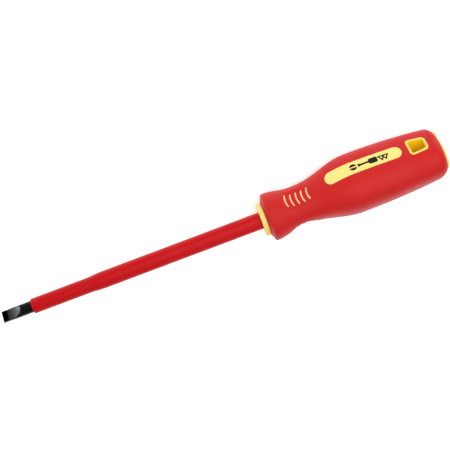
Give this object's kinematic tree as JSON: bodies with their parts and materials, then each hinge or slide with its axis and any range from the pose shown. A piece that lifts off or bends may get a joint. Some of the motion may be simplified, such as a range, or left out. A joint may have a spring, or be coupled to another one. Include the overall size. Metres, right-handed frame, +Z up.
{
  "type": "insulated screwdriver",
  "caption": "Insulated slotted screwdriver: sleeved round blade with a hollow-ground tip, and a three-lobed soft-grip handle with a hanging eye.",
  "frame": {"origin": "middle of the edge of the slotted tip, on the tool's axis", "axes": "+X along the tool's axis and out of the tip, +Z up with the tool lying on one handle face, the label face towards -Y"},
  "size_m": [0.256, 0.0342, 0.0332],
  "materials": {
    "blade_steel": "black oxide, with ground flats at the tip",
    "sleeve_red": "satin moulded plastic",
    "grip_red": "soft matt moulded elastomer",
    "trim_yellow": "smooth moulded plastic",
    "label_yellow": "smooth moulded plastic with a printed band",
    "core_yellow": "plain moulded plastic"
  },
  "bodies": {
    "root": {"blade": "blade_steel", "blade_sleeve": "sleeve_red", "front_collar": "trim_yellow", "handle_core": "core_yellow", "grip": "grip_red", "thumb_pad_1": "trim_yellow", "thumb_pad_2": "trim_yellow", "thumb_pad_3": "trim_yellow", "label_plate": "label_yellow", "hanging_eye": "trim_yellow", "end_cap": "trim_yellow"}
  },
  "joints": []
}
